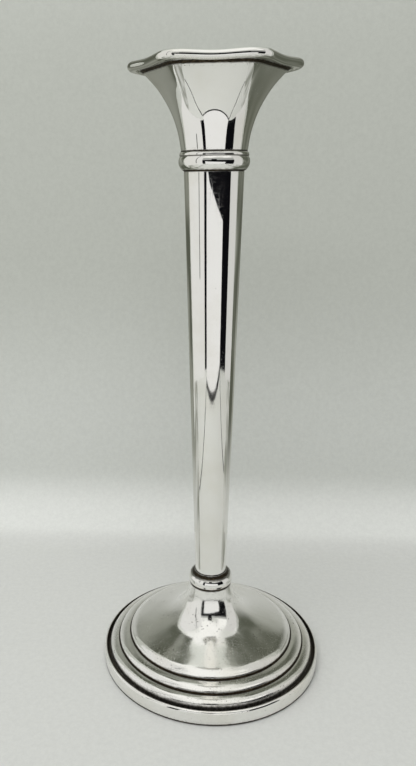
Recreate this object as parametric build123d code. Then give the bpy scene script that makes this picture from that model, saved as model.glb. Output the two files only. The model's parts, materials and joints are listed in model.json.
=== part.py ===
from build123d import *
import math
import os

# A tall silver candlestick with a loaded foot, a tapered stem and a six-sided flared sconce.
# Millimetres, +Z up. The origin is the centre of the underside, on the surface it stands on.

# --- driving dimensions -------------------------------------------------------------------
TOTAL_HEIGHT = 250.0
FOOT_RADIUS = 48.0
SHEET = 0.5                 # spun and rolled silver sheet
BAND_THICKNESS = 1.0        # drawn band round the foot
BAND_BOTTOM = 0.5
STEP_GROOVE_RADIUS = 45.3   # where the lower step drops into the groove behind the band
STEP_LINE_RADIUS = 41.2     # crease between the two steps
DOME_EDGE_RADIUS = 36.1     # crease between the upper step and the dome
NECK_RADIUS = 9.0
NECK_TOP = 36.2
LOWER_COLLAR_TOP = 42.0
STEM_BOTTOM_RADIUS = 6.7
STEM_TOP_RADIUS = 11.5
STEM_TOP = 211.5
UPPER_COLLAR_TOP = 218.3
THROAT_RADIUS = 12.5
CANDLE_BORE_RADIUS = 11.2   # for a standard 22 mm candle
NOZZLE_WALL = 0.45
NOZZLE_SEAT = 217.0
NOZZLE_TOP = 241.0
ROD_RADIUS = 2.5
PAD_THICKNESS = 1.0
PAD_RADIUS = 46.2
BOARD_RADIUS = 44.0
BOARD_TOP = 6.5
COUNTERBORE_RADIUS = 8.0
COUNTERBORE_TOP = 4.8
WASHER_THICKNESS = 0.8
NUT_ACROSS_FLATS = 8.0
NUT_THICKNESS = 2.5
STEM_WALL = 0.6
NECK_PLUG_FLOOR = 29.5
NECK_PLUG_TOP = 48.0
TOP_PLUG_FLOOR = 204.0
COLLAR_FOOT = 0.7           # the upper collar's ledge over the end of the stem
NOZZLE_FLOOR = 0.6

# --- the six-sided mouth ------------------------------------------------------------------
SIDES = 6
WIRE_HEIGHT = 3.7
WIRE_WIDTH = 3.4
WIRE_CORNER_REACH = 32.3    # outside of the wire at a corner
WIRE_CORNER_RADIUS = 8.5    # plan radius of the wire's corners, outside
WIRE_FACE_TURN = math.radians(78)   # the wire's section is oval up to narrow flats
WIRE_LEVELS = 7
SIDE_HOLLOW = 0.7           # the mouth's sides curve in by this much at the rim
LIP_REACH = 30.2            # corner of the sheet's edge, inside the wire
PLAN_POINTS = 36
MOUTH_LEVELS = 8

# --- derived ------------------------------------------------------------------------------
BAND_INNER = FOOT_RADIUS - BAND_THICKNESS
WIRE_LEVEL = TOTAL_HEIGHT - WIRE_HEIGHT / 2
LIP_TOP = WIRE_LEVEL + 0.4
NOZZLE_RADIUS = CANDLE_BORE_RADIUS + NOZZLE_WALL
PLUG_RADIUS = THROAT_RADIUS - SHEET - 0.1
ROD_BOTTOM = PAD_THICKNESS + 0.3
ROD_TOP = NOZZLE_SEAT - 5.0
COLLAR_BORE = STEM_BOTTOM_RADIUS - SHEET


def turned(*edges):
    """Solid of revolution about Z from a closed outline drawn as (radius, height)."""
    return revolve(Plane.XZ * make_face(Wire(list(edges))), Axis.Z)


def turned_path(*points):
    """Solid of revolution from an outline of straight runs."""
    return turned(*Polyline(*points, close=True).edges())


def sleeve(outer, inner, bottom, top):
    """Plain ring or tube between two heights."""
    return turned_path((inner, bottom), (outer, bottom), (outer, top), (inner, top))


def disc(radius, bottom, top):
    """Plain round disc or bar between two heights."""
    return Pos(0, 0, bottom) * extrude(Circle(radius), top - bottom)


def save(name, shape):
    """Write one sub-part as STEP, named after its node."""
    shape.label = name
    export_step(shape, f"parts/{name}.step")


# --- foot ---------------------------------------------------------------------------------
def foot_line(inset=0.0):
    """Outer line of the spun foot from the neck to the flange, moved in and down by inset.

    Moving the same line in and down gives the inner face of the sheet, or the top of the
    filling, and keeps the wall between one and one and a half times the inset.
    """
    def at(radius, height):
        return (radius - inset, height - inset)

    ogee = Spline(
        at(NECK_RADIUS, NECK_TOP),
        at(9.9, 31.5),
        at(12.2, 26.0),
        at(17.5, 20.9),
        at(25.0, 17.6),
        at(32.0, 15.3),
        at(DOME_EDGE_RADIUS - 1.2, 13.7),
        tangents=[(0.12, -1), (0.75, -0.65)],
    )
    dome_edge = ThreePointArc(ogee @ 1, at(DOME_EDGE_RADIUS - 0.3, 12.9), at(DOME_EDGE_RADIUS, 12.0))
    upper_step = EllipticalCenterArc(
        at(DOME_EDGE_RADIUS, 9.2), STEP_LINE_RADIUS - DOME_EDGE_RADIUS, 2.8, 0, arc_size=90
    )
    lower_step = EllipticalCenterArc(
        at(STEP_LINE_RADIUS, 6.6), STEP_GROOVE_RADIUS - STEP_LINE_RADIUS, 2.6, 0, arc_size=90
    )
    riser = Line(at(STEP_GROOVE_RADIUS, 6.6), at(STEP_GROOVE_RADIUS, 5.2))
    groove = Line(riser @ 1, at(BAND_INNER - 0.4, 5.0))
    shoulder = ThreePointArc(groove @ 1, at(BAND_INNER - 0.12, 4.88), at(BAND_INNER, 4.6))
    wall = Line(shoulder @ 1, at(BAND_INNER, BAND_BOTTOM + 0.4 + inset))
    return [ogee, dome_edge, upper_step, lower_step, riser, groove, shoulder, wall]


def foot_shell():
    """Spun foot: neck, shallow dome and two rounded steps, open underneath."""
    outer = foot_line()
    inner = foot_line(SHEET)
    foot_end = Line(outer[-1] @ 1, inner[-1] @ 1)
    neck_end = Line(outer[0] @ 0, inner[0] @ 0)
    return turned(*outer, foot_end, *inner, neck_end)


def foot_band():
    """Upright band with a rounded shoulder, soldered round the foot's flange."""
    ledge = 5.05
    inner = BAND_INNER - 0.55
    face = ThreePointArc(
        (FOOT_RADIUS - 0.15, BAND_BOTTOM), (FOOT_RADIUS, 2.8), (FOOT_RADIUS - 0.05, 5.2)
    )
    over = ThreePointArc(face @ 1, (FOOT_RADIUS - 0.45, 6.3), (BAND_INNER - 0.05, 6.6))
    inside = ThreePointArc(over @ 1, (inner + 0.1, 6.3), (inner, 5.6))
    rest = Polyline(inside @ 1, (inner, ledge), (BAND_INNER, ledge), (BAND_INNER, BAND_BOTTOM), face @ 0)
    return turned(face, over, inside, *rest.edges())


def foot_filling():
    """Cast filling between the spun foot and the board, with the rod's hole through it."""
    top = foot_line(SHEET)
    low_centre = (0, BAND_BOTTOM + 0.4)
    high_centre = (0, NECK_TOP - SHEET)
    filling = turned(
        *top, Line(top[-1] @ 1, low_centre), Line(low_centre, high_centre), Line(high_centre, top[0] @ 0)
    )
    filling -= disc(FOOT_RADIUS, 0, PAD_THICKNESS)
    filling -= disc(BOARD_RADIUS, 0, BOARD_TOP)
    filling -= disc(NECK_RADIUS + 5, NECK_PLUG_FLOOR, NECK_TOP)
    return filling - disc(ROD_RADIUS, 0, NECK_TOP)


def base_board():
    """Wooden disc that closes the foot, counterbored for the nut and washer."""
    board = disc(BOARD_RADIUS, PAD_THICKNESS, BOARD_TOP)
    board -= disc(COUNTERBORE_RADIUS, PAD_THICKNESS, COUNTERBORE_TOP)
    board -= disc(ROD_RADIUS + 0.2, PAD_THICKNESS, BOARD_TOP)
    rims = board.edges().filter_by(GeomType.CIRCLE).sort_by(SortBy.RADIUS)[-2:]
    return chamfer(rims, 0.4)


def rod_nut():
    """Thin hexagon nut on the lower end of the rod."""
    blank = extrude(RegularPolygon(NUT_ACROSS_FLATS / 2, 6, major_radius=False), NUT_THICKNESS)
    nut = Pos(0, 0, COUNTERBORE_TOP - WASHER_THICKNESS - NUT_THICKNESS) * blank
    return nut - disc(ROD_RADIUS, 0, COUNTERBORE_TOP)


# --- stem ---------------------------------------------------------------------------------
def lower_collar():
    """Cast ring between foot and stem: a half-round bead with a hollow above it."""
    bead = ThreePointArc((9.2, NECK_TOP), (9.6, 38.5), (8.7, 40.4))
    hollow = ThreePointArc(bead @ 1, (7.6, 40.9), (STEM_BOTTOM_RADIUS + 0.3, LOWER_COLLAR_TOP))
    rest = Polyline(
        hollow @ 1, (COLLAR_BORE, LOWER_COLLAR_TOP), (COLLAR_BORE, NECK_TOP), bead @ 0
    )
    return turned(bead, hollow, *rest.edges())


def neck_plug():
    """Turned plug that lines up foot, lower collar and stem on the rod."""
    bore = ROD_RADIUS + 0.1
    return turned_path(
        (bore, NECK_PLUG_FLOOR),
        (NECK_RADIUS - SHEET - 0.3, NECK_PLUG_FLOOR),
        (NECK_RADIUS - SHEET - 0.3, NECK_TOP),
        (COLLAR_BORE - 0.05, NECK_TOP),
        (COLLAR_BORE - 0.05, LOWER_COLLAR_TOP),
        (COLLAR_BORE - 0.3, LOWER_COLLAR_TOP),
        (COLLAR_BORE - 0.3, NECK_PLUG_TOP),
        (bore, NECK_PLUG_TOP),
    )


def stem_radius(height):
    """Outside radius of the straight-tapered stem at a height."""
    share = (height - LOWER_COLLAR_TOP) / (STEM_TOP - LOWER_COLLAR_TOP)
    return STEM_BOTTOM_RADIUS + (STEM_TOP_RADIUS - STEM_BOTTOM_RADIUS) * share


def stem_tube():
    """Tapered tube rolled from sheet."""
    return turned_path(
        (STEM_BOTTOM_RADIUS - STEM_WALL, LOWER_COLLAR_TOP),
        (STEM_BOTTOM_RADIUS, LOWER_COLLAR_TOP),
        (STEM_TOP_RADIUS, STEM_TOP),
        (STEM_TOP_RADIUS - STEM_WALL, STEM_TOP),
    )


def stem_filling():
    """Cast filling inside the stem, round the rod."""
    gap = STEM_WALL + 0.02
    return turned_path(
        (ROD_RADIUS, NECK_PLUG_TOP),
        (stem_radius(NECK_PLUG_TOP) - gap, NECK_PLUG_TOP),
        (stem_radius(TOP_PLUG_FLOOR) - gap, TOP_PLUG_FLOOR),
        (ROD_RADIUS, TOP_PLUG_FLOOR),
    )


def stem_top_plug():
    """Turned boss on the rod's upper end; its top is the seat of the nozzle."""
    step = STEM_TOP + COLLAR_FOOT
    inside_stem = STEM_TOP_RADIUS - STEM_WALL - 0.4
    return turned_path(
        (ROD_RADIUS, TOP_PLUG_FLOOR),
        (inside_stem, TOP_PLUG_FLOOR),
        (inside_stem, step),
        (PLUG_RADIUS, step),
        (PLUG_RADIUS, NOZZLE_SEAT),
        (0, NOZZLE_SEAT),
        (0, ROD_TOP),
        (ROD_RADIUS, ROD_TOP),
    )


def upper_collar():
    """Cast ring under the sconce: a full bead with a narrow reed above it."""
    bore = THROAT_RADIUS - SHEET
    foot_bore = STEM_TOP_RADIUS - STEM_WALL
    bead = ThreePointArc((11.75, STEM_TOP), (13.5, 214.1), (13.0, 216.6))
    reed = ThreePointArc(bead @ 1, (13.15, 217.5), (THROAT_RADIUS + 0.1, UPPER_COLLAR_TOP))
    rest = Polyline(
        reed @ 1,
        (bore, UPPER_COLLAR_TOP),
        (bore, STEM_TOP + COLLAR_FOOT),
        (foot_bore, STEM_TOP + COLLAR_FOOT),
        (foot_bore, STEM_TOP),
        bead @ 0,
    )
    return turned(bead, reed, *rest.edges())


# --- sconce -------------------------------------------------------------------------------
def hexagon_share(angle):
    """Reach of the rim's plan at an angle from a corner, as a share of the corner's reach.

    The plan is a hexagon with round corners whose sides curve in a little.
    """
    half = math.pi / SIDES
    from_corner = abs((angle + half) % (2 * half) - half)
    centre = WIRE_CORNER_REACH - WIRE_CORNER_RADIUS
    apothem = centre * math.cos(half) + WIRE_CORNER_RADIUS
    on_arc = math.atan2(WIRE_CORNER_RADIUS * math.sin(half), centre + WIRE_CORNER_RADIUS * math.cos(half))
    if from_corner < on_arc:
        across = centre * math.sin(from_corner)
        reach = centre * math.cos(from_corner) + math.sqrt(WIRE_CORNER_RADIUS**2 - across**2)
    else:
        reach = apothem / math.cos(half - from_corner)
    hollow = SIDE_HOLLOW * (1 - math.cos(SIDES * angle)) / 2
    return (reach - hollow) / WIRE_CORNER_REACH


def plan_points(corner_reach, height, share=1.0):
    """Points round one level of the mouth, from a circle (share 0) to the hexagon (share 1)."""
    points = []
    for i in range(PLAN_POINTS):
        angle = 2 * math.pi * i / PLAN_POINTS
        reach = corner_reach * (1 - share + share * hexagon_share(angle))
        points.append((reach * math.cos(angle), reach * math.sin(angle), height))
    return points


def mouth_solid(inset=0.0):
    """Solid trumpet inside the sconce's corner line, moved in and up by inset.

    With an inset it also runs down below the throat, so that it opens the sconce there.
    """
    corner_line = Spline(
        (THROAT_RADIUS, UPPER_COLLAR_TOP),
        (14.0, 226.1),
        (17.1, 234.0),
        (22.5, 242.0),
        (LIP_REACH, LIP_TOP),
        tangents=[(0, 1), (1, 0.55)],
    )
    levels = [plan_points(THROAT_RADIUS - inset, UPPER_COLLAR_TOP - 2 * inset, 0)] if inset else []
    for i in range(MOUTH_LEVELS):
        corner = corner_line @ (i / (MOUTH_LEVELS - 1))
        share = ((corner.Y - UPPER_COLLAR_TOP) / (LIP_TOP - UPPER_COLLAR_TOP)) ** 0.8
        levels.append(plan_points(corner.X - inset, corner.Y + inset, share))
    return loft([make_face(Wire([Spline(*points, periodic=True)])) for points in levels])


def sconce_shell():
    """Flared socket, round at the throat and six-sided at the lip."""
    return mouth_solid() - mouth_solid(SHEET)


def rim_wire_solid(side):
    """Solid inside the wire's outer face (side 1) or inner face (side -1)."""
    middle = WIRE_CORNER_REACH - WIRE_WIDTH / 2
    sections = []
    for i in range(WIRE_LEVELS):
        turn = WIRE_FACE_TURN * (2 * i / (WIRE_LEVELS - 1) - 1)
        reach = middle + side * WIRE_WIDTH / 2 * math.cos(turn)
        height = WIRE_LEVEL + WIRE_HEIGHT / 2 * math.sin(turn) / math.sin(WIRE_FACE_TURN)
        sections.append(make_face(Wire([Spline(*plan_points(reach, height), periodic=True)])))
    return loft(sections)


def sconce_rim_wire(shell):
    """Oval wire that follows the six-sided lip, with the sheet's edge let into it."""
    return rim_wire_solid(1) - rim_wire_solid(-1) - shell


# --- nozzle, lifts out --------------------------------------------------------------------
def nozzle_rim_bead():
    """Half-round wire round the top of the nozzle."""
    low = NOZZLE_TOP - 1.4
    outside = ThreePointArc(
        (NOZZLE_RADIUS, low), (NOZZLE_RADIUS + 1.1, (low + NOZZLE_TOP) / 2), (NOZZLE_RADIUS, NOZZLE_TOP)
    )
    return turned(outside, Line(outside @ 1, outside @ 0))


def main():
    """Build every sub-part and write it out."""
    os.makedirs("parts", exist_ok=True)
    shell = sconce_shell()
    washer_bottom = COUNTERBORE_TOP - WASHER_THICKNESS
    sub_parts = {
        "baize_pad": disc(PAD_RADIUS, 0, PAD_THICKNESS),
        "base_board": base_board(),
        "rod_nut": rod_nut(),
        "rod_washer": sleeve(7.0, ROD_RADIUS + 0.15, washer_bottom, COUNTERBORE_TOP),
        "tie_rod": disc(ROD_RADIUS, ROD_BOTTOM, ROD_TOP),
        "foot_filling": foot_filling(),
        "foot_shell": foot_shell(),
        "foot_band": foot_band(),
        "neck_plug": neck_plug(),
        "lower_collar": lower_collar(),
        "stem_tube": stem_tube(),
        "stem_filling": stem_filling(),
        "stem_top_plug": stem_top_plug(),
        "upper_collar": upper_collar(),
        "sconce_shell": shell,
        "sconce_rim_wire": sconce_rim_wire(shell),
        "nozzle_cup": sleeve(NOZZLE_RADIUS, CANDLE_BORE_RADIUS, NOZZLE_SEAT + NOZZLE_FLOOR, NOZZLE_TOP),
        "nozzle_floor": disc(NOZZLE_RADIUS, NOZZLE_SEAT, NOZZLE_SEAT + NOZZLE_FLOOR),
        "nozzle_rim_bead": nozzle_rim_bead(),
    }
    for name, shape in sub_parts.items():
        save(name, shape)


main()
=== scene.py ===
"""Silver candlestick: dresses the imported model, adds fine pieces and sets the studio."""

import json
import logging
import math
from dataclasses import dataclass
from enum import Enum
from typing import Callable, Sequence

import bmesh
import bpy
from mathutils import Matrix, Vector, noise

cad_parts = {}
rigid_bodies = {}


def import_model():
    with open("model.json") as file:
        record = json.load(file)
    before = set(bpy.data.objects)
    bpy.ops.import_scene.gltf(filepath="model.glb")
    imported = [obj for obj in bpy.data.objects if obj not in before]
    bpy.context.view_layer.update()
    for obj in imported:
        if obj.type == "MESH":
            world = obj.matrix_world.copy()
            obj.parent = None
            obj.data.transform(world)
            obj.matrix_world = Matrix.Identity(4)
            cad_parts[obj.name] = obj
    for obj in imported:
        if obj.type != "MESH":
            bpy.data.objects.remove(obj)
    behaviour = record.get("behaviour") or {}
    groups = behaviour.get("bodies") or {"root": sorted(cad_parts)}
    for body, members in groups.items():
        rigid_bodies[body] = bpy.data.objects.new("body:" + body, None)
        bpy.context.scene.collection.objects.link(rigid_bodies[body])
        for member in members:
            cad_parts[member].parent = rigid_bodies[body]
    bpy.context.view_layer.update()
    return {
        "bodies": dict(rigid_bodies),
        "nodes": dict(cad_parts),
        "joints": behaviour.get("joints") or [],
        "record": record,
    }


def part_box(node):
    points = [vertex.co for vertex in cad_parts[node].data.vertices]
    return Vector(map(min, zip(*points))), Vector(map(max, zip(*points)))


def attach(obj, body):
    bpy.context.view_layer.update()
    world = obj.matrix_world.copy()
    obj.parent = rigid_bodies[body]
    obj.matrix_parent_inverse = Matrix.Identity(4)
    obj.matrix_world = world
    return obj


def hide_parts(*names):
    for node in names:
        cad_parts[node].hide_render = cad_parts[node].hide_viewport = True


MM = 0.001

# Heights of the turned lines that neighbouring pieces share, in millimetres.
NECK_TOP = 36.2
LOWER_COLLAR_TOP = 41.2
STEM_FOOT = 42.0
STEM_TOP = 211.5
REED_FOOT = 216.75
THROAT = 218.3

LOG = logging.getLogger("candlestick")

Colour = tuple[float, float, float]
Point = tuple[float, float, float]
Pair = tuple[float, float]
Socket = bpy.types.NodeSocket


class Body(str, Enum):
    """The two bodies of the model that a piece can ride on."""

    STICK = "candlestick"
    NOZZLE = "nozzle"


class Slot(str, Enum):
    """The record's material slots, passed with new pieces."""

    SILVER = "polished_silver"
    BAIZE = "baize"


class Along(Enum):
    """What a ring of tarnish and painted crevice shade is measured along."""

    RADIUS = "radius"
    HEIGHT = "height"


# --- node sheets and finishes -------------------------------------------------------------
class NodeSheet:
    """A material's node tree, with short calls for the nodes used here."""

    def __init__(self, name: str) -> None:
        """Start an empty material with a Principled shader and an output.

        Args:
            name: The material's name.
        """
        self.material = bpy.data.materials.new(name)
        self.material.use_nodes = True
        self.tree = self.material.node_tree
        self.tree.nodes.clear()
        self.output = self.add("ShaderNodeOutputMaterial")
        self.shader = self.add("ShaderNodeBsdfPrincipled")
        self.link(self.shader.outputs["BSDF"], self.output.inputs["Surface"])
        self.place = self.add("ShaderNodeTexCoord").outputs["Object"]

    def add(self, kind: str) -> bpy.types.Node:
        """Add a node of this kind."""
        return self.tree.nodes.new(kind)

    def link(self, source: Socket, target: Socket) -> None:
        """Join two sockets."""
        self.tree.links.new(source, target)

    def feed(self, target: Socket, value: object) -> None:
        """Set a socket to a number or colour, or link it.

        Args:
            target: The input socket.
            value: A number, a colour or an output socket.
        """
        if isinstance(value, Socket):
            self.link(value, target)
        elif isinstance(value, tuple) and len(value) == 3 and target.type == "RGBA":
            target.default_value = (*value, 1.0)
        else:
            target.default_value = value

    def math(
        self, operation: str, first: object, second: object = 0.0, clamp: bool = False
    ) -> Socket:
        """Do one sum with two values.

        Args:
            operation: The Math node's operation.
            first: First value or socket.
            second: Second value or socket.
            clamp: Whether the result is held from 0 to 1.

        Returns:
            The result's socket.
        """
        node = self.add("ShaderNodeMath")
        node.operation, node.use_clamp = operation, clamp
        self.feed(node.inputs[0], first)
        self.feed(node.inputs[1], second)
        return node.outputs[0]

    def ramp(
        self,
        value: object,
        low: float,
        high: float,
        out_low: float = 0.0,
        out_high: float = 1.0,
    ) -> Socket:
        """Carry a range of a value smoothly to another range.

        Args:
            value: The value's socket.
            low: Where the range starts.
            high: Where it ends.
            out_low: Result at low.
            out_high: Result at high.

        Returns:
            The result's socket.
        """
        node = self.add("ShaderNodeMapRange")
        node.interpolation_type = "SMOOTHSTEP"
        self.feed(node.inputs["Value"], value)
        limits = {"From Min": low, "From Max": high, "To Min": out_low, "To Max": out_high}
        for socket, number in limits.items():
            node.inputs[socket].default_value = number
        return node.outputs["Result"]

    def stretched(self, scale: Point, turn: Point = (0.0, 0.0, 0.0)) -> Socket:
        """Give the object's coordinates turned and stretched.

        Args:
            scale: Factor along each axis.
            turn: Turn about each axis, in radians.

        Returns:
            The vector's socket.
        """
        node = self.add("ShaderNodeMapping")
        node.inputs["Scale"].default_value = scale
        node.inputs["Rotation"].default_value = turn
        self.link(self.place, node.inputs["Vector"])
        return node.outputs["Vector"]

    def cloud(
        self,
        scale: float,
        detail: float = 3.0,
        at: Socket | None = None,
        rough: float = 0.5,
    ) -> Socket:
        """Add a noise texture.

        Args:
            scale: Cells to the metre, or to the unit of a stretched vector.
            detail: Octaves.
            at: The vector, or None for the object's own coordinates.
            rough: How strong the small octaves are.

        Returns:
            The noise value, from 0 to 1.
        """
        node = self.add("ShaderNodeTexNoise")
        node.inputs["Scale"].default_value = scale
        node.inputs["Detail"].default_value = detail
        node.inputs["Roughness"].default_value = rough
        self.link(at or self.place, node.inputs["Vector"])
        return node.outputs["Fac"]

    def mix(self, share: object, first: object, second: object) -> Socket:
        """Mix two colours.

        Args:
            share: How much of the second colour.
            first: Colour at 0.
            second: Colour at 1.

        Returns:
            The colour's socket.
        """
        node = self.add("ShaderNodeMix")
        node.data_type = "RGBA"
        self.feed(node.inputs["Factor"], share)
        self.feed(node.inputs[6], first)
        self.feed(node.inputs[7], second)
        return node.outputs[2]

    def bump(
        self, height: Socket, depth: float, strength: float = 1.0, after: Socket | None = None
    ) -> Socket:
        """Turn a height into a normal.

        Args:
            height: The height's socket, from 0 to 1.
            depth: What 1 stands for, in metres.
            strength: How much of it is used.
            after: A normal that it is laid over.

        Returns:
            The normal's socket.
        """
        node = self.add("ShaderNodeBump")
        node.inputs["Strength"].default_value = strength
        node.inputs["Distance"].default_value = depth
        self.link(height, node.inputs["Height"])
        if after is not None:
            self.link(after, node.inputs["Normal"])
        return node.outputs["Normal"]

    def radius_and_height(self) -> tuple[Socket, Socket]:
        """Give the distance from the upright axis, and the height, both in millimetres."""
        split = self.add("ShaderNodeSeparateXYZ")
        self.link(self.place, split.inputs[0])
        x_squared = self.math("POWER", split.outputs[0], 2.0)
        y_squared = self.math("POWER", split.outputs[1], 2.0)
        radius = self.math("SQRT", self.math("ADD", x_squared, y_squared))
        return self.math("DIVIDE", radius, MM), self.math("DIVIDE", split.outputs[2], MM)


@dataclass(frozen=True)
class TarnishAndShadeRing:
    """A turned line or crevice where polish and dirt stay, darkened with tarnish and with painted
    shade: sizes in millimetres.
    """

    along: Along
    middle: float
    half_width: float
    depth: float = 1.0
    spread: float = 1.6


# Grain of the silver's noises, in cells to the metre.
EDGE_GRAIN = 900.0
SPECK_GRAIN = 2600.0
CRUST_GRAIN = 1900.0
PIT_GRAIN = 1300.0
PIT_AREA_GRAIN = 90.0
SMEAR_GRAIN = 38.0
SCRATCH_AREA_GRAIN = 60.0
DENT_GRAIN = 85.0
RIPPLE_GRAIN = 330.0

# Stretch and turn of each set of scratches, and the noise level that a scratch follows.
SCRATCH_SETS = (
    ((14.0, 1300.0, 1300.0), (0.3, 0.5, 0.2)),
    ((1400.0, 18.0, 1100.0), (0.8, 0.1, 0.9)),
    ((1000.0, 1100.0, 12.0), (0.1, 0.35, 0.4)),
)
SCRATCH_LEVEL = 0.62
SCRATCH_WIDTH = 0.016


@dataclass(frozen=True)
class Silver:
    """Polished silver with fine scratches, smears, pits, and tarnish and painted shade left in its
    crevices.
    """

    name: str
    rings: tuple[TarnishAndShadeRing, ...]
    base: Colour = (0.930, 0.922, 0.895)
    warm: Colour = (0.790, 0.765, 0.680)
    # Near-black of the tarnish and of the shade painted into crevices; the brown below is its
    # crust.
    tarnish_and_shade: Colour = (0.030, 0.024, 0.017)
    brown: Colour = (0.150, 0.115, 0.070)
    polish: float = 0.030
    speckle: float = 0.5
    wear: float = 1.0
    dents: float = 0.030

    def ring_mask(
        self, sheet: NodeSheet, ring: TarnishAndShadeRing, axes: tuple[Socket, Socket], broken: Socket
    ) -> tuple[Socket, Socket]:
        """Make one ring's masks.

        Args:
            sheet: The node tree.
            ring: The ring.
            axes: Sockets of radius and height, in millimetres.
            broken: Noise that breaks the ring's edge.

        Returns:
            The ring's own mask and the wider area that its specks cover.
        """
        where = axes[0] if ring.along is Along.RADIUS else axes[1]
        away = sheet.math("ABSOLUTE", sheet.math("SUBTRACT", where, ring.middle))
        edge = sheet.math("ADD", away, sheet.math("MULTIPLY", broken, -0.7 * ring.half_width))
        core = sheet.ramp(edge, 0.05 * ring.half_width, 0.80 * ring.half_width, ring.depth, 0.0)
        near = sheet.ramp(away, ring.half_width, ring.half_width + ring.spread, ring.depth, 0.0)
        return core, near

    def pits(self, sheet: NodeSheet) -> Socket:
        """Scatter a few dark pits, more of them in some areas."""
        fewest = 0.79 - 0.10 * self.speckle
        grain = sheet.ramp(sheet.cloud(PIT_GRAIN, 2.0), fewest, fewest + 0.05)
        most = 0.4 + 0.5 * self.speckle
        areas = sheet.ramp(sheet.cloud(PIT_AREA_GRAIN, 2.0), 0.45, 0.62, 0.1, most)
        return sheet.math("MULTIPLY", grain, areas)

    def dirt_and_shade(self, sheet: NodeSheet, pits: Socket) -> Socket:
        """Join the pits, the tarnish and painted shade in the rings and the specks beside them.

        Args:
            sheet: The node tree.
            pits: Mask of the pits.

        Returns:
            The mask of all dirt and painted shade.
        """
        axes = sheet.radius_and_height()
        broken = sheet.cloud(EDGE_GRAIN, 4.0, rough=0.65)
        masks = [self.ring_mask(sheet, ring, axes, broken) for ring in self.rings]
        core, near = masks[0]
        for own, around in masks[1:]:
            core = sheet.math("MAXIMUM", core, own)
            near = sheet.math("MAXIMUM", near, around)
        specks = sheet.ramp(sheet.cloud(SPECK_GRAIN, 2.0), 0.60, 0.70)
        beside = sheet.math("MULTIPLY", sheet.math("MULTIPLY", near, specks), 0.75)
        return sheet.math("MAXIMUM", pits, sheet.math("MAXIMUM", core, beside))

    def scratches(self, sheet: NodeSheet) -> Socket:
        """Draw thin scratches in three directions, stronger in some areas."""
        drawn = None
        for scale, turn in SCRATCH_SETS:
            lines = sheet.cloud(1.0, 1.0, at=sheet.stretched(scale, turn))
            away = sheet.math("ABSOLUTE", sheet.math("SUBTRACT", lines, SCRATCH_LEVEL))
            thin = sheet.ramp(away, 0.0, SCRATCH_WIDTH, 1.0, 0.0)
            drawn = thin if drawn is None else sheet.math("MAXIMUM", drawn, thin)
        areas = sheet.ramp(sheet.cloud(SCRATCH_AREA_GRAIN, 2.0), 0.35, 0.7, 0.15, 1.0)
        return sheet.math("MULTIPLY", drawn, areas)

    def colour(self, sheet: NodeSheet, smear: Socket, dirt_and_shade: Socket) -> Socket:
        """Mix the silver's colour.

        Args:
            sheet: The node tree.
            smear: Mask of the warmer smears.
            dirt_and_shade: Mask of all dirt and painted shade.

        Returns:
            The colour's socket.
        """
        share = sheet.math("MULTIPLY", smear, 0.30 + 0.20 * self.wear)
        clean = sheet.mix(share, self.base, self.warm)
        grain = sheet.ramp(sheet.cloud(CRUST_GRAIN, 3.0, rough=0.7), 0.50, 0.68)
        # Where the mask lies the colour is painted near-black: pits, tarnish and painted crevice
        # shade.
        return sheet.mix(dirt_and_shade, clean, sheet.mix(grain, self.tarnish_and_shade, self.brown))

    def make(self) -> bpy.types.Material:
        """Build the material."""
        sheet = NodeSheet(self.name)
        pits = self.pits(sheet)
        dirt_and_shade = self.dirt_and_shade(sheet, pits)
        smear = sheet.ramp(sheet.cloud(SMEAR_GRAIN, 5.0, rough=0.6), 0.42, 0.75)
        scratches = self.scratches(sheet)
        sheet.link(self.colour(sheet, smear, dirt_and_shade), sheet.shader.inputs["Base Color"])
        sheet.shader.inputs["Metallic"].default_value = 1.0

        rough = sheet.math("ADD", sheet.math("MULTIPLY", smear, 0.045 * self.wear), self.polish)
        rough = sheet.math("ADD", rough, sheet.math("MULTIPLY", scratches, 0.16 * self.wear))
        rough = sheet.math("ADD", rough, sheet.math("MULTIPLY", dirt_and_shade, 0.45), clamp=True)
        sheet.link(rough, sheet.shader.inputs["Roughness"])

        ripple = 0.07 * self.dents * MM
        beaten = sheet.bump(sheet.cloud(DENT_GRAIN, 1.0), self.dents * MM)
        rippled = sheet.bump(sheet.cloud(RIPPLE_GRAIN, 2.0), ripple, after=beaten)
        pitted = sheet.bump(pits, 0.020 * MM, -0.5, after=rippled)
        scored = sheet.bump(scratches, 0.004 * MM, -self.wear, after=pitted)
        sheet.link(scored, sheet.shader.inputs["Normal"])
        return sheet.material


@dataclass(frozen=True)
class Baize:
    """Green wool baize: fibres every way, worn and faded in patches."""

    name: str = "green_baize"
    dark: Colour = (0.018, 0.075, 0.038)
    light: Colour = (0.075, 0.205, 0.110)

    def make(self) -> bpy.types.Material:
        """Build the material."""
        sheet = NodeSheet(self.name)
        across = sheet.stretched((2600.0, 500.0, 900.0), (0.0, 0.0, 0.5))
        along = sheet.stretched((500.0, 2600.0, 900.0), (0.0, 0.0, 0.8))
        fibres = sheet.math(
            "MAXIMUM", sheet.cloud(1.0, 3.0, at=across), sheet.cloud(1.0, 3.0, at=along)
        )
        worn = sheet.ramp(sheet.cloud(45.0, 4.0), 0.35, 0.75, 0.0, 0.5)
        share = sheet.math("ADD", sheet.ramp(fibres, 0.4, 0.8, 0.0, 0.7), worn, clamp=True)
        sheet.link(sheet.mix(share, self.dark, self.light), sheet.shader.inputs["Base Color"])
        sheet.link(sheet.ramp(fibres, 0.3, 0.8, 1.0, 0.85), sheet.shader.inputs["Roughness"])
        sheet.shader.inputs["Sheen Weight"].default_value = 0.35
        sheet.shader.inputs["Sheen Roughness"].default_value = 0.5
        sheet.link(sheet.bump(fibres, 0.25 * MM), sheet.shader.inputs["Normal"])
        return sheet.material


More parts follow.
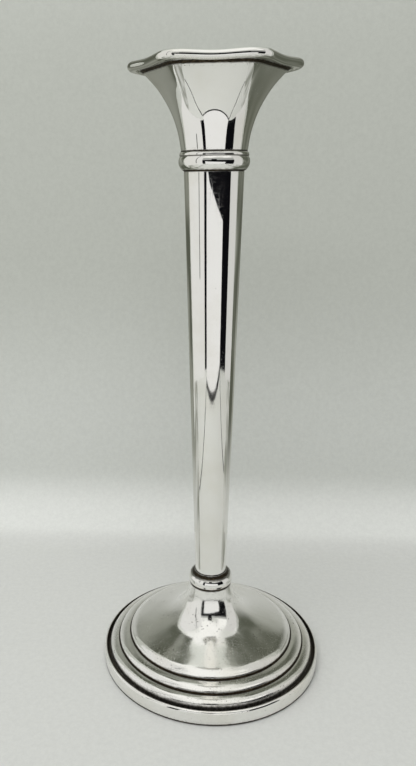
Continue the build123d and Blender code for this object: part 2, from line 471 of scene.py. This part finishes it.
@dataclass(frozen=True)
class Beech:
    """Turned beech with growth lines, short flecks and a lathe's marks."""

    name: str = "turned_beech"
    pale: Colour = (0.50, 0.34, 0.19)
    dark: Colour = (0.30, 0.175, 0.085)

    def make(self) -> bpy.types.Material:
        """Build the material."""
        sheet = NodeSheet(self.name)
        growth = sheet.cloud(1.0, 4.0, at=sheet.stretched((14.0, 260.0, 260.0)))
        short = sheet.stretched((260.0, 2200.0, 2200.0))
        flecks = sheet.ramp(sheet.cloud(1.0, 1.0, at=short), 0.62, 0.72)
        lines = sheet.ramp(growth, 0.3, 0.7, 0.0, 0.75)
        share = sheet.math("ADD", lines, sheet.math("MULTIPLY", flecks, 0.35), clamp=True)
        sheet.link(sheet.mix(share, self.pale, self.dark), sheet.shader.inputs["Base Color"])
        sheet.link(sheet.ramp(growth, 0.3, 0.7, 0.62, 0.48), sheet.shader.inputs["Roughness"])
        radius, _ = sheet.radius_and_height()
        turned = sheet.math("SINE", sheet.math("MULTIPLY", radius, 14.0))
        marks = sheet.bump(sheet.ramp(turned, -1.0, 1.0), 0.02 * MM)
        sheet.link(sheet.bump(flecks, 0.03 * MM, -1.0, after=marks), sheet.shader.inputs["Normal"])
        return sheet.material


@dataclass(frozen=True)
class TurnedMetal:
    """A metal left from the lathe: fine rings, oxide patches and a soft shine."""

    name: str
    bright: Colour
    dull: Colour
    shine: float = 0.34
    pitch: float = 9.0

    def make(self) -> bpy.types.Material:
        """Build the material."""
        sheet = NodeSheet(self.name)
        radius, height = sheet.radius_and_height()
        sum_of = sheet.math("ADD", radius, height)
        turned = sheet.math("SINE", sheet.math("MULTIPLY", sum_of, self.pitch))
        rings = sheet.ramp(turned, -1.0, 1.0)
        oxide = sheet.ramp(sheet.cloud(160.0, 5.0, rough=0.65), 0.42, 0.7)
        sheet.link(sheet.mix(oxide, self.bright, self.dull), sheet.shader.inputs["Base Color"])
        sheet.shader.inputs["Metallic"].default_value = 1.0
        rough = sheet.math("ADD", sheet.math("MULTIPLY", oxide, 0.25), self.shine)
        rough = sheet.math("ADD", rough, sheet.math("MULTIPLY", rings, 0.06))
        sheet.link(rough, sheet.shader.inputs["Roughness"])
        grain = sheet.bump(rings, 0.012 * MM)
        fine = sheet.bump(sheet.cloud(1800.0, 2.0), 0.01 * MM, 0.6, after=grain)
        sheet.link(fine, sheet.shader.inputs["Normal"])
        return sheet.material


@dataclass(frozen=True)
class Plaster:
    """Cast plaster cement: chalky, with small holes and stains."""

    name: str = "plaster_cement"
    pale: Colour = (0.80, 0.77, 0.69)
    stain: Colour = (0.58, 0.53, 0.44)

    def make(self) -> bpy.types.Material:
        """Build the material."""
        sheet = NodeSheet(self.name)
        stains = sheet.ramp(sheet.cloud(55.0, 5.0), 0.4, 0.75)
        holes = sheet.ramp(sheet.cloud(700.0, 2.0), 0.66, 0.74)
        colour = sheet.mix(sheet.math("MAXIMUM", stains, holes), self.pale, self.stain)
        sheet.link(colour, sheet.shader.inputs["Base Color"])
        sheet.link(sheet.ramp(stains, 0.0, 1.0, 0.95, 0.8), sheet.shader.inputs["Roughness"])
        cast = sheet.math("SUBTRACT", sheet.cloud(1500.0, 3.0), holes)
        sheet.link(sheet.bump(cast, 0.15 * MM), sheet.shader.inputs["Normal"])
        return sheet.material


@dataclass(frozen=True)
class StudioPaper:
    """Matt paper of the floor and backdrop; its bands by height paint light and shade onto it."""

    name: str
    tint: Colour
    bands: tuple[tuple[float, float, Colour], ...] = ()
    one_sided: bool = False

    def make(self) -> bpy.types.Material:
        """Build the material. A one-sided paper isn't seen from behind."""
        sheet = NodeSheet(self.name)
        patch = sheet.ramp(sheet.cloud(420.0, 6.0, rough=0.8), 0.3, 0.7, 0.0, 1.0)
        tint: object = self.tint
        _, height = sheet.radius_and_height()
        for start, end, colour in self.bands:
            tint = sheet.mix(sheet.ramp(height, start, end), tint, colour)
        worn = sheet.mix(0.08, tint, (0.0, 0.0, 0.0))
        sheet.link(sheet.mix(patch, tint, worn), sheet.shader.inputs["Base Color"])
        sheet.shader.inputs["Roughness"].default_value = 0.9
        sheet.shader.inputs["Specular IOR Level"].default_value = 0.2
        tooth = sheet.bump(sheet.cloud(1200.0, 2.0), 0.03 * MM, 0.4)
        sheet.link(tooth, sheet.shader.inputs["Normal"])
        if self.one_sided:
            clear = sheet.add("ShaderNodeBsdfTransparent")
            choice = sheet.add("ShaderNodeMixShader")
            sheet.link(sheet.add("ShaderNodeNewGeometry").outputs["Backfacing"], choice.inputs[0])
            sheet.link(sheet.shader.outputs["BSDF"], choice.inputs[1])
            sheet.link(clear.outputs["BSDF"], choice.inputs[2])
            sheet.link(choice.outputs[0], sheet.output.inputs["Surface"])
        return sheet.material


@dataclass(frozen=True)
class CardFace:
    """A glowing card's colour, which paints reflections in the silver: even or cloudy, and paler
    at its foot if asked.
    """

    name: str
    glow: Colour
    other: Colour | None = None
    cloud_scale: float = 7.0
    foot_glow: Colour | None = None
    foot_fades_over: Pair = (8.0, 85.0)

    def make(self) -> bpy.types.Material:
        """Build the material."""
        sheet = NodeSheet(self.name)
        sheet.tree.nodes.remove(sheet.shader)
        light = sheet.add("ShaderNodeEmission")
        sheet.link(light.outputs[0], sheet.output.inputs["Surface"])
        colour: object = self.glow
        if self.other is not None:
            share = sheet.ramp(sheet.cloud(self.cloud_scale, 1.0), 0.36, 0.64)
            colour = sheet.mix(share, self.glow, self.other)
        if self.foot_glow is not None:
            _, height = sheet.radius_and_height()
            colour = sheet.mix(sheet.ramp(height, *self.foot_fades_over), self.foot_glow, colour)
        sheet.feed(light.inputs["Color"], colour)
        return sheet.material


# --- mesh helpers -------------------------------------------------------------------------
def mesh_object(name: str, build: Callable[[bmesh.types.BMesh], None]) -> bpy.types.Object:
    """Make an object from a function that fills a bmesh.

    Args:
        name: The object's name.
        build: Fills the bmesh.

    Returns:
        The linked object, with smooth faces.
    """
    mesh = bpy.data.meshes.new(name)
    made = bmesh.new()
    build(made)
    bmesh.ops.recalc_face_normals(made, faces=made.faces)
    made.to_mesh(mesh)
    made.free()
    mesh.shade_smooth()
    piece = bpy.data.objects.new(name, mesh)
    bpy.context.scene.collection.objects.link(piece)
    return piece


def dress(piece: bpy.types.Object, material: bpy.types.Material) -> None:
    """Give every material slot of a piece this material."""
    if not piece.material_slots:
        piece.data.materials.append(material)
    for place in piece.material_slots:
        place.material = material


@dataclass
class SubAssembly:
    """A group of pieces that is built and dressed together."""

    frame: dict

    def node(self, name: str) -> bpy.types.Object:
        """Give the object of a CAD node."""
        return self.frame["nodes"][name]

    def add(
        self, piece: bpy.types.Object, body: Body, slot: Slot, material: bpy.types.Material
    ) -> bpy.types.Object:
        """Dress a new piece and make it ride on its body.

        Args:
            piece: The new piece.
            body: The body that it rides on.
            slot: Its slot in the record; not used.
            material: Its material.

        Returns:
            The piece.
        """
        dress(piece, material)
        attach(piece, body.value)
        LOG.info("%s: %d faces, rides on %s", piece.name, len(piece.data.polygons), body.value)
        return piece

    def dress_nodes(self, material: bpy.types.Material, *names: str) -> None:
        """Dress CAD nodes.

        Args:
            material: Their material.
            *names: The nodes.
        """
        for name in names:
            dress(self.node(name), material)
            LOG.info("%s: CAD mesh, %s", name, material.name)


@dataclass
class Base(SubAssembly):
    """Baize pad, wooden base board and the fittings that hold the stick together."""

    pad_edge_wave: float = 0.12 * MM
    pad_edge_round: float = 0.35 * MM
    pad_wave_pitch: float = 9.0
    pad_rings: int = 20
    pad_spokes: int = 144

    def pad_mesh(self, made: bmesh.types.BMesh) -> None:
        """Fill the baize pad: a thin round with a soft, slightly wavy cut edge."""
        low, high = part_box("baize_pad")
        radius, top = high[0] - self.pad_edge_wave, high[2]
        edge = self.pad_edge_round
        reaches = [(radius - edge) * i / self.pad_rings for i in range(1, self.pad_rings + 1)]
        profile = [(reach, low[2]) for reach in reaches]
        profile += [(radius, low[2] + edge), (radius, top - edge)]
        profile += [(reach, top) for reach in reversed(reaches)]
        rows = []
        for r, z in profile:
            row = []
            for i in range(self.pad_spokes):
                turn = math.tau * i / self.pad_spokes
                x, y = self.pad_wave_pitch * math.cos(turn), self.pad_wave_pitch * math.sin(turn)
                wave = self.pad_edge_wave * noise.noise(Vector((x, y, 0)))
                reach = r + wave * (r / radius) ** 4
                row.append(made.verts.new((reach * math.cos(turn), reach * math.sin(turn), z)))
            rows.append(row)
        for first, second in zip(rows, rows[1:]):
            for i in range(self.pad_spokes):
                j = (i + 1) % self.pad_spokes
                made.faces.new((first[i], first[j], second[j], second[i]))
        for row, z in ((rows[0], low[2]), (rows[-1], top)):
            centre = made.verts.new((0.0, 0.0, z))
            for i in range(self.pad_spokes):
                made.faces.new((centre, row[i], row[(i + 1) % self.pad_spokes]))

    def build(self) -> None:
        """Build the pad and dress the base."""
        pad = mesh_object("baize_pad_round", self.pad_mesh)
        self.add(pad, Body.STICK, Slot.BAIZE, Baize().make())
        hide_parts("baize_pad")
        self.dress_nodes(Beech().make(), "base_board")
        steel = TurnedMetal("mild_steel", (0.46, 0.46, 0.47), (0.27, 0.25, 0.23))
        self.dress_nodes(steel.make(), "rod_nut", "rod_washer", "tie_rod")
        self.dress_nodes(Plaster().make(), "foot_filling", "stem_filling")
        brass = TurnedMetal(
            "turned_brass", (0.72, 0.56, 0.28), (0.42, 0.29, 0.13), shine=0.28, pitch=11.0
        )
        self.dress_nodes(brass.make(), "neck_plug", "stem_top_plug")


@dataclass
class Foot(SubAssembly):
    """Domed and stepped foot with its upright band."""

    crease_inner: float = 36.1
    crease_outer: float = 41.2
    groove: float = 45.95
    band_shoulder: float = 46.7
    band_foot: float = 0.5

    def build(self) -> None:
        """Dress the foot."""
        # Tarnish with painted shade in the foot's two creases, its wide groove and the joint at
        # the neck.
        rings = (
            TarnishAndShadeRing(Along.RADIUS, self.crease_inner, 0.42, spread=0.9),
            TarnishAndShadeRing(Along.RADIUS, self.crease_outer, 0.42, spread=0.9),
            TarnishAndShadeRing(Along.RADIUS, self.groove, 1.10, depth=0.95, spread=1.6),
            TarnishAndShadeRing(Along.HEIGHT, NECK_TOP, 0.90, spread=1.4),
        )
        foot = Silver("foot_silver", rings, polish=0.105, speckle=1.3, wear=1.3, dents=0.26)
        self.dress_nodes(foot.make(), "foot_shell")
        # Tarnish with painted shade under the band's shoulder, and a painted contact shadow along
        # the band's foot.
        edges = (
            TarnishAndShadeRing(Along.RADIUS, self.band_shoulder, 0.45, spread=0.8),
            TarnishAndShadeRing(Along.HEIGHT, self.band_foot, 0.75, spread=1.4),
        )
        band = Silver("band_silver", edges, speckle=1.0, wear=1.3, dents=0.07)
        self.dress_nodes(band.make(), "foot_band")


@dataclass
class Stem(SubAssembly):
    """Tapered stem between its two collars."""

    def build(self) -> None:
        """Dress the stem and its collars."""
        # Tarnish with painted shade where the stem meets its collars.
        stem = (
            TarnishAndShadeRing(Along.HEIGHT, STEM_FOOT, 0.45, spread=1.0),
            TarnishAndShadeRing(Along.HEIGHT, STEM_TOP, 0.55, spread=1.0),
        )
        self.dress_nodes(Silver("stem_silver", stem).make(), "stem_tube")
        # Tarnish with painted shade in the collars' coves and between their reeds.
        collars = (
            TarnishAndShadeRing(Along.HEIGHT, NECK_TOP, 0.80, spread=1.0),
            TarnishAndShadeRing(Along.HEIGHT, LOWER_COLLAR_TOP, 1.00, spread=0.9),
            TarnishAndShadeRing(Along.HEIGHT, STEM_TOP, 0.4, spread=1.0),
            TarnishAndShadeRing(Along.HEIGHT, REED_FOOT, 0.28, depth=0.8, spread=0.5),
            TarnishAndShadeRing(Along.HEIGHT, THROAT, 0.25, depth=0.7, spread=0.4),
        )
        self.dress_nodes(Silver("collar_silver", collars).make(), "lower_collar", "upper_collar")


@dataclass
class Sconce(SubAssembly):
    """Six-sided flared sconce with the wavy wire soldered round its rim."""

    sides: int = 6
    corner_reach: float = 32.25
    corner_radius: float = 10.5
    side_hollow: float = 0.7
    wire_width: float = 3.3
    wire_height: float = 3.2
    side_dip: float = 0.42
    sheet: float = 0.5
    shell_levels: int = 72
    six_sided_from: float = 1.9
    line: tuple[Pair, ...] = (
        (12.5, THROAT), (14.0, 226.1), (17.1, 234.0), (22.5, 242.0), (30.2, 248.55)
    )
    throat_slope: Pair = (1.35, 7.8)
    lip_heading: Pair = (1.0, 0.55)
    lip_pull: float = 10.5
    wire_sink: float = 0.12
    wire_waver: float = 0.10
    waver_pitch: float = 2.2
    waver_level: float = 4.0
    lip_crease: float = 246.35
    wire_crease: float = 245.9
    turn_steps: int = 288
    section_steps: int = 20

    def plan(self, angle: float) -> float:
        """Give how far out the rim's outside lies at an angle.

        Args:
            angle: Angle about the upright axis, in radians, from a corner.

        Returns:
            The reach in millimetres.
        """
        half = math.pi / self.sides
        from_corner = abs((angle + half) % (2 * half) - half)
        centre = self.corner_reach - self.corner_radius
        apothem = centre * math.cos(half) + self.corner_radius
        arc_end = (
            self.corner_radius * math.sin(half),
            centre + self.corner_radius * math.cos(half),
        )
        on_arc = math.atan2(*arc_end)
        if from_corner <= on_arc:
            across = centre * math.sin(from_corner)
            reach = centre * math.cos(from_corner) + math.sqrt(self.corner_radius**2 - across**2)
        else:
            reach = apothem / math.cos(half - from_corner)
        return reach - self.side_hollow * (1 - math.cos(self.sides * angle)) / 2

    def corner_line(self, share: float) -> Pair:
        """Give a point of the flare's line at a corner, smooth through its given points.

        Args:
            share: How far along the line, from 0 at the throat to 1 at the lip.

        Returns:
            Its reach and height in millimetres.
        """
        points = [Vector(p) for p in self.line]
        slopes = [Vector(self.throat_slope)]
        slopes += [(after - before) / 2 for before, after in zip(points, points[2:])]
        slopes.append(Vector(self.lip_heading).normalized() * self.lip_pull)
        spans = len(points) - 1
        i = min(int(share * spans), spans - 1)
        t = share * spans - i
        first, second = points[i], points[i + 1]
        place = (
            (2 * t**3 - 3 * t**2 + 1) * first
            + (t**3 - 2 * t**2 + t) * slopes[i]
            + (3 * t**2 - 2 * t**3) * second
            + (t**3 - t**2) * slopes[i + 1]
        )
        return place.x, place.y

    def shell_mesh(self, made: bmesh.types.BMesh) -> None:
        """Fill the sconce's sheet: round at the throat, six-sided towards the lip."""
        low, high = self.line[0][1], self.line[-1][1]
        outside = [self.corner_line(i / self.shell_levels) for i in range(self.shell_levels + 1)]
        levels = []
        for i, (reach, height) in enumerate(outside):
            before, after = outside[max(i - 1, 0)], outside[min(i + 1, self.shell_levels)]
            along = Vector((after[0] - before[0], after[1] - before[1])).normalized()
            levels.append((reach, height, Vector((-along.y, along.x)) * self.sheet))
        rows = []
        for inner in (False, True):
            for reach, height, inward in (reversed(levels) if inner else levels):
                share = ((height - low) / (high - low)) ** self.six_sided_from
                row = []
                for j in range(self.turn_steps):
                    angle = math.tau * j / self.turn_steps
                    out = reach * (1 - share + share * self.plan(angle) / self.corner_reach)
                    r, z = (out + inward.x, height + inward.y) if inner else (out, height)
                    x, y = r * math.cos(angle) * MM, r * math.sin(angle) * MM
                    row.append(made.verts.new((x, y, z * MM)))
                rows.append(row)
        for first, second in zip(rows, rows[1:] + rows[:1]):
            for j in range(self.turn_steps):
                k = (j + 1) % self.turn_steps
                made.faces.new((first[j], first[k], second[k], second[j]))

    def wire_mesh(self, made: bmesh.types.BMesh) -> None:
        """Fill the rim wire: an oval section carried round the rim, dipping along each side."""
        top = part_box("sconce_rim_wire")[1][2] / MM
        rows = []
        for i in range(self.turn_steps):
            angle = math.tau * i / self.turn_steps
            middle = self.plan(angle) - self.wire_width / 2
            x, y = self.waver_pitch * math.cos(angle), self.waver_pitch * math.sin(angle)
            uneven = self.wire_waver * noise.noise(Vector((x, y, self.waver_level)))
            wave = self.side_dip * (1 - math.cos(self.sides * angle)) / 2
            dip = wave + self.wire_sink + uneven
            level = top - self.wire_height / 2 - dip
            row = []
            for j in range(self.section_steps):
                turn = math.tau * j / self.section_steps
                reach = middle + self.wire_width / 2 * math.cos(turn)
                height = level + self.wire_height / 2 * math.sin(turn)
                x, y = reach * math.cos(angle) * MM, reach * math.sin(angle) * MM
                row.append(made.verts.new((x, y, height * MM)))
            rows.append(row)
        for i, row in enumerate(rows):
            after = rows[(i + 1) % self.turn_steps]
            for j in range(self.section_steps):
                k = (j + 1) % self.section_steps
                made.faces.new((row[j], after[j], after[k], row[k]))

    def build(self) -> None:
        """Build the flared shell and its rim wire."""
        # Tarnish with painted shade at the throat and under the rim wire.
        shell = (
            TarnishAndShadeRing(Along.HEIGHT, THROAT, 0.5, spread=1.0),
            TarnishAndShadeRing(Along.HEIGHT, self.lip_crease, 0.75, spread=1.3),
        )
        flare = mesh_object("sconce_shell_flare", self.shell_mesh)
        self.add(flare, Body.STICK, Slot.SILVER, Silver("sconce_silver", shell).make())
        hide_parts("sconce_shell")
        # Tarnish with painted shade along the wire's underside.
        ring = (TarnishAndShadeRing(Along.HEIGHT, self.wire_crease, 0.45, depth=0.8, spread=0.5),)
        wire = mesh_object("sconce_rim_wire_round", self.wire_mesh)
        self.add(wire, Body.STICK, Slot.SILVER, Silver("rim_silver", ring, dents=0.05).make())
        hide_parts("sconce_rim_wire")


@dataclass
class Nozzle(SubAssembly):
    """Lift-out nozzle that holds the candle."""

    seat: float = 217.6
    bead_foot: float = 239.4

    def build(self) -> None:
        """Dress the nozzle."""
        # Tarnish with painted shade where the nozzle sits in the throat and under its bead.
        rings = (
            TarnishAndShadeRing(Along.HEIGHT, self.seat, 0.8),
            TarnishAndShadeRing(Along.HEIGHT, self.bead_foot, 0.4),
        )
        worn_base = (0.83, 0.815, 0.78)
        silver = Silver("nozzle_wear_silver", rings, base=worn_base, polish=0.13, wear=1.6)
        self.dress_nodes(silver.make(), "nozzle_cup", "nozzle_floor", "nozzle_rim_bead")


# --- studio -------------------------------------------------------------------------------
def heading(turn: float, reach: float, height: float) -> Point:
    """Give a point round the object.

    Args:
        turn: Degrees from the camera's side, to the right as the camera sees it.
        reach: Distance from the upright axis.
        height: Height above the floor.

    Returns:
        The point.
    """
    angle = math.radians(turn)
    return (reach * math.sin(angle), -reach * math.cos(angle), height)


@dataclass(frozen=True)
class Card:
    """A glowing card, no lamp, seen only in the silver as a painted reflection: an outline of
    points, or a curved strip.
    """

    name: str
    face: CardFace
    points: tuple[Point, ...] = ()
    turns: Pair = (0.0, 0.0)
    reach: float = 0.0
    heights: Pair = (0.0, 0.0)
    degrees_per_step: float = 4.0

    def build(self) -> None:
        """Build the card and hide it from the camera, diffuse light, shadows and transmission."""

        def flat(made: bmesh.types.BMesh) -> None:
            """Fill the outline."""
            made.faces.new([made.verts.new(p) for p in self.points])

        def curved(made: bmesh.types.BMesh) -> None:
            """Fill the strip."""
            start, end = self.turns
            steps = max(2, int(abs(end - start) / self.degrees_per_step))
            rows = []
            for i in range(steps + 1):
                turn = start + (end - start) * i / steps
                rows.append([made.verts.new(heading(turn, self.reach, z)) for z in self.heights])
            for first, second in zip(rows, rows[1:]):
                made.faces.new((first[0], second[0], second[1], first[1]))

        card = mesh_object(self.name, flat if self.points else curved)
        dress(card, self.face.make())
        card.visible_camera = False
        card.visible_diffuse = False
        card.visible_shadow = False
        card.visible_transmission = False


# Glows of the cards that paint the silver's reflections: white and pale panels, black and dim
# flags, olive surroundings painted paler at their foot, floor shades and the ceiling.
WHITE_FACE = CardFace("white_card", (0.82, 0.82, 0.81))
PALE_FACE = CardFace("pale_card", (0.64, 0.64, 0.62))
LEFT_FACE = CardFace("left_card", (0.76, 0.76, 0.74))
BLACK_FACE = CardFace("black_card", (0.004, 0.004, 0.005))
DIM_FACE = CardFace("dim_card", (0.12, 0.125, 0.115))
OLIVE_FACE = CardFace(
    "olive_card", (0.095, 0.102, 0.078), (0.31, 0.32, 0.28), 15.0, (0.54, 0.55, 0.52)
)
SHADE_FACE = CardFace("shade_card", (0.26, 0.27, 0.235), (0.55, 0.56, 0.53), cloud_scale=11.0)
CEILING_FACE = CardFace("ceiling_card", (0.95, 0.95, 0.92), (0.62, 0.63, 0.59), cloud_scale=1.3)


@dataclass(frozen=True)
class Softbox:
    """A square lamp aimed at the object, which the silver doesn't show."""

    name: str
    place: Point
    size: float
    power: float
    aim: Point = (0.0, 0.0, 0.05)

    def build(self) -> None:
        """Hang the lamp."""
        data = bpy.data.lights.new(self.name, "AREA")
        data.shape, data.size, data.energy = "SQUARE", self.size, self.power
        lamp = bpy.data.objects.new(self.name, data)
        lamp.location = self.place
        ahead = Vector(self.aim) - Vector(self.place)
        lamp.rotation_euler = ahead.to_track_quat("-Z", "Y").to_euler()
        lamp.visible_glossy = False
        bpy.context.scene.collection.objects.link(lamp)


@dataclass
class Studio:
    """Pale floor and backdrop with painted light bands, soft lights, glowing cards that paint
    reflections in the silver, and the camera.
    """

    floor_tint: Colour = (0.68, 0.685, 0.665)
    # Backdrop bands by height: the wall darker, its fold, foot and top painted lighter where the
    # light falls.
    wall_tint: Colour = (0.535, 0.55, 0.51)
    wall_top_painted_light: Colour = (0.62, 0.635, 0.60)
    wall_foot_painted_light: Colour = (0.66, 0.675, 0.645)
    fold_painted_light: Colour = (0.77, 0.78, 0.755)
    floor_half_width: float = 2.4
    fold_start: float = 0.085
    fold_radius: float = 0.036
    fold_lean: float = 4.0
    fold_steps: int = 16
    wall_height: float = 1.3
    wall_half_width: float = 1.1
    wall_lift: float = 0.0004
    softboxes: tuple[Softbox, ...] = (
        Softbox("overhead_softbox", (-0.2, -0.60, 1.15), 1.0, 9.6),
        Softbox("left_softbox", (-1.2, -0.5, 0.75), 0.9, 2.6),
        Softbox("right_softbox", (1.2, -0.35, 0.7), 0.8, 1.0),
    )
    room_tint: Colour = (0.50, 0.51, 0.49)
    room_strength: float = 0.75
    panel_y: float = -0.325
    panel_outline: tuple[Pair, ...] = (
        (-0.170, 0.0), (0.240, 0.0), (0.240, 0.150), (-0.100, 0.188), (-0.170, 0.205)
    )
    panel_foot: tuple[Pair, ...] = (
        (-0.178, 0.0), (0.242, 0.0), (0.242, 0.010), (-0.178, 0.010)
    )
    floor_line_width: float = 0.011
    floor_line_start: float = -0.030
    floor_line_height: float = 0.0015
    floor_shade_outline: tuple[Pair, ...] = (
        (0.070, -0.010), (0.40, -0.06), (0.40, 0.30), (0.085, 0.090), (0.070, 0.030)
    )
    floor_shade_height: float = 0.0010
    ceiling_reach: float = 1.2
    ceiling_height: float = 1.0
    ceiling_sides: int = 24
    camera_outline: tuple[Pair, ...] = (
        (-0.042, -0.012), (0.042, -0.012), (0.042, 0.120), (-0.042, 0.120)
    )
    camera_card_gap: float = 0.01
    lens_length: float = 33.062
    sensor_height: float = 36.0
    shift: Pair = (0.0561, -0.0091)
    camera_place: Point = (0.0, -0.2788, 0.2084)
    pitch: float = 0.2724
    yaw: float = -0.0696
    roll: float = -0.0099
    clip_start: float = 0.01

    def floor(self) -> None:
        """Lay the floor."""
        half = self.floor_half_width
        corners = ((-half, -half, 0), (half, -half, 0), (half, half, 0), (-half, half, 0))

        def build(made: bmesh.types.BMesh) -> None:
            """Fill one large square."""
            made.faces.new([made.verts.new(corner) for corner in corners])

        ground = mesh_object("studio_floor", build)
        dress(ground, StudioPaper("floor_paper", self.floor_tint).make())

    def backdrop(self) -> None:
        """Stand the backdrop up behind the object, with a soft fold at its foot."""
        line = []
        for i in range(self.fold_steps + 1):
            angle = math.radians((90.0 - self.fold_lean) * i / self.fold_steps)
            y = self.fold_start + self.fold_radius * math.sin(angle)
            line.append((y, self.fold_radius * (1 - math.cos(angle))))
        lean = math.radians(self.fold_lean)
        y, z = line[-1]
        line.append(
            (y + self.wall_height * math.sin(lean), z + self.wall_height * math.cos(lean))
        )
        half = self.wall_half_width

        def build(made: bmesh.types.BMesh) -> None:
            """Fill the bent sheet, its good side to the object."""
            rows = [
                [made.verts.new((x, y, z + self.wall_lift)) for x in (-half, half)]
                for y, z in line
            ]
            for first, second in zip(rows, rows[1:]):
                made.faces.new((first[0], first[1], second[1], second[0]))

        wall = mesh_object("studio_backdrop", build)
        if wall.data.polygons[-1].normal.y > 0:
            wall.data.flip_normals()
        # Painted light: the fold brightest, easing through a lighter foot to the darker wall, with
        # the top painted lighter again.
        bands = (
            (1.0, 6.0, self.fold_painted_light),
            (12.0, 40.0, self.wall_foot_painted_light),
            (60.0, 170.0, self.wall_tint),
            (260.0, 380.0, self.wall_top_painted_light),
        )
        paper = StudioPaper("backdrop_paper", self.floor_tint, bands, one_sided=True)
        dress(wall, paper.make())

    def lights(self) -> None:
        """Hang the soft lights and light the room."""
        for softbox in self.softboxes:
            softbox.build()
        world = bpy.data.worlds.new("soft_room")
        world.use_nodes = True
        background = world.node_tree.nodes["Background"]
        background.inputs["Color"].default_value = (*self.room_tint, 1.0)
        background.inputs["Strength"].default_value = self.room_strength
        bpy.context.scene.world = world

    def front_cards(self) -> list[Card]:
        """Give the painted reflections of a white panel before the object, the dark behind it and
        its foot.
        """
        panel = tuple((x, self.panel_y, z) for x, z in self.panel_outline)
        foot = tuple((x, self.panel_y + 0.001, z) for x, z in self.panel_foot)
        return [
            Card("front_white", WHITE_FACE, points=panel),
            Card("front_black", BLACK_FACE, turns=(-58.0, 66.0), reach=0.42, heights=(0.0, 0.30)),
            Card("card_foot", BLACK_FACE, points=foot),
        ]

    def side_cards(self) -> list[Card]:
        """Give the curved glowing cards beside and behind the object, painted reflections of the
        room.
        """
        return [
            Card("left_bright", LEFT_FACE, turns=(-110.0, -37.4), reach=0.40, heights=(0.0, 0.75)),
            Card("left_line", DIM_FACE, turns=(-60.0, -57.0), reach=0.395, heights=(0.10, 0.75)),
            Card("right_bright", PALE_FACE, turns=(66.0, 101.0), reach=0.40, heights=(0.0, 0.75)),
            Card(
                "back_olive", OLIVE_FACE, turns=(101.0, 250.0), reach=0.105, heights=(0.004, 0.34)
            ),
        ]

    def floor_cards(self) -> list[Card]:
        """Give the dark lines and the shades on the floor, seen only in the silver as painted
        reflections.
        """
        found = []
        start, width = self.floor_line_start, self.floor_line_width
        for name, near, far in (
            ("floor_line_left", -0.165, -0.186),
            ("floor_line_right", 0.185, 0.245),
        ):
            ends = (
                (near, start), (far, self.panel_y),
                (far + width, self.panel_y), (near + 0.7 * width, start),
            )
            line = tuple((x, y, self.floor_line_height) for x, y in ends)
            found.append(Card(name, BLACK_FACE, points=line))
        level = self.floor_shade_height
        for name, side in (("floor_shade_left", -1.0), ("floor_shade_right", 1.0)):
            shade = tuple((side * x, y, level) for x, y in self.floor_shade_outline)
            found.append(Card(name, SHADE_FACE, points=shade))
        return found

    def upper_cards(self) -> list[Card]:
        """Give the painted reflections of the ceiling and of the dark of whoever stands at the
        camera.
        """
        turns = [math.tau * i / self.ceiling_sides for i in range(self.ceiling_sides)]
        reach, height = self.ceiling_reach, self.ceiling_height
        ceiling = tuple((reach * math.cos(t), reach * math.sin(t), height) for t in turns)
        x, y, z = self.camera_place
        dark = tuple((x + a, y - self.camera_card_gap, z + b) for a, b in self.camera_outline)
        return [
            Card("ceiling", CEILING_FACE, points=ceiling),
            Card("camera_dark", BLACK_FACE, points=dark),
        ]

    def cards(self) -> None:
        """Stand the glowing cards round the object, painting reflections in the silver."""
        groups = (self.front_cards(), self.side_cards(), self.floor_cards(), self.upper_cards())
        for group in groups:
            for card in group:
                card.build()

    def camera(self) -> None:
        """Stand the camera where the object was seen from."""
        pitch, yaw, roll = self.pitch, self.yaw, self.roll
        level = math.cos(pitch)
        ahead = Vector((math.sin(yaw) * level, math.cos(yaw) * level, -math.sin(pitch)))
        right = Vector((math.cos(yaw), -math.sin(yaw), 0.0))
        up = right.cross(ahead)
        turned_right = math.cos(roll) * right + math.sin(roll) * up
        turned_up = -math.sin(roll) * right + math.cos(roll) * up
        data = bpy.data.cameras.new("camera")
        data.sensor_fit = "VERTICAL"
        data.sensor_height, data.lens = self.sensor_height, self.lens_length
        data.shift_x, data.shift_y = self.shift
        data.clip_start = self.clip_start
        camera = bpy.data.objects.new("camera", data)
        axes = Matrix((turned_right, turned_up, -ahead)).transposed().to_4x4()
        camera.matrix_world = Matrix.Translation(self.camera_place) @ axes
        bpy.context.scene.collection.objects.link(camera)
        bpy.context.scene.camera = camera

    def build(self) -> None:
        """Set up the whole studio."""
        self.floor()
        self.backdrop()
        self.lights()
        self.cards()
        self.camera()
        bpy.context.scene.view_settings.view_transform = "Standard"


def main() -> None:
    """Build the candlestick in its frame and set the studio round it."""
    logging.basicConfig(level=logging.INFO, format="%(name)s: %(message)s")
    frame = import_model()
    for part in (Base(frame), Foot(frame), Stem(frame), Sconce(frame), Nozzle(frame)):
        part.build()
    Studio().build()


if __name__ == "__main__":
    main()
